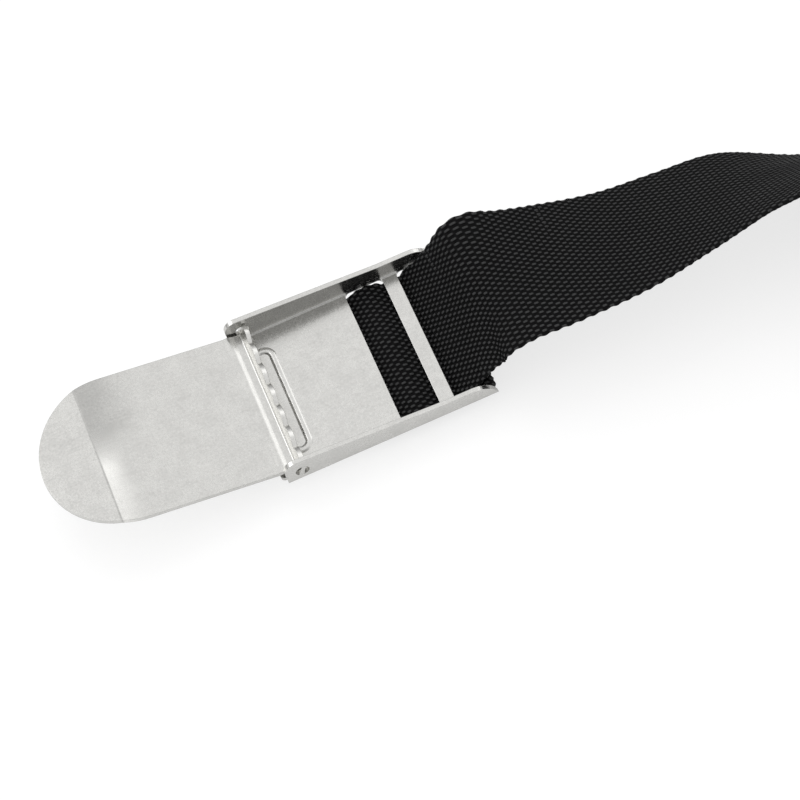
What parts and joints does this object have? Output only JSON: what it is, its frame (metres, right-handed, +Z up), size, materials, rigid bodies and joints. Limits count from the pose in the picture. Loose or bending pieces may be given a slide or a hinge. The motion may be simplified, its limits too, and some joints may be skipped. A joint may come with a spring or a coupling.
{
  "type": "dive weight belt",
  "caption": "Webbing belt with a quick-release cam buckle of pressed stainless steel; the lever clamps the free end of the webbing.",
  "frame": {"origin": "on the surface that the belt lies on, below the middle of the buckle's middle bar", "axes": "+X along the belt from the buckle towards the strap, +Y across the belt, +Z up out of the buckle's open side"},
  "size_m": [0.3226, 0.0985, 0.0504],
  "materials": {
    "frame_steel": "satin, tumbled stainless sheet",
    "lever_steel": "satin, tumbled stainless sheet",
    "webbing": "matte heavy nylon webbing, coarse weave"
  },
  "bodies": {
    "frame": {"buckle_frame": "frame_steel", "strap_loop": "webbing", "strap_rise": "webbing", "strap_run": "webbing", "strap_roll": "webbing"},
    "lever": {"cam_lever": "lever_steel"}
  },
  "joints": [
    {"name": "lever_hinge", "type": "hinge", "parent": "frame", "child": "lever", "pos_m": [-0.04855, 0, 0.00985], "axis": [0, 1, 0], "range_deg": [0, 163], "deforming": ["strap_rise"]}
  ]
}
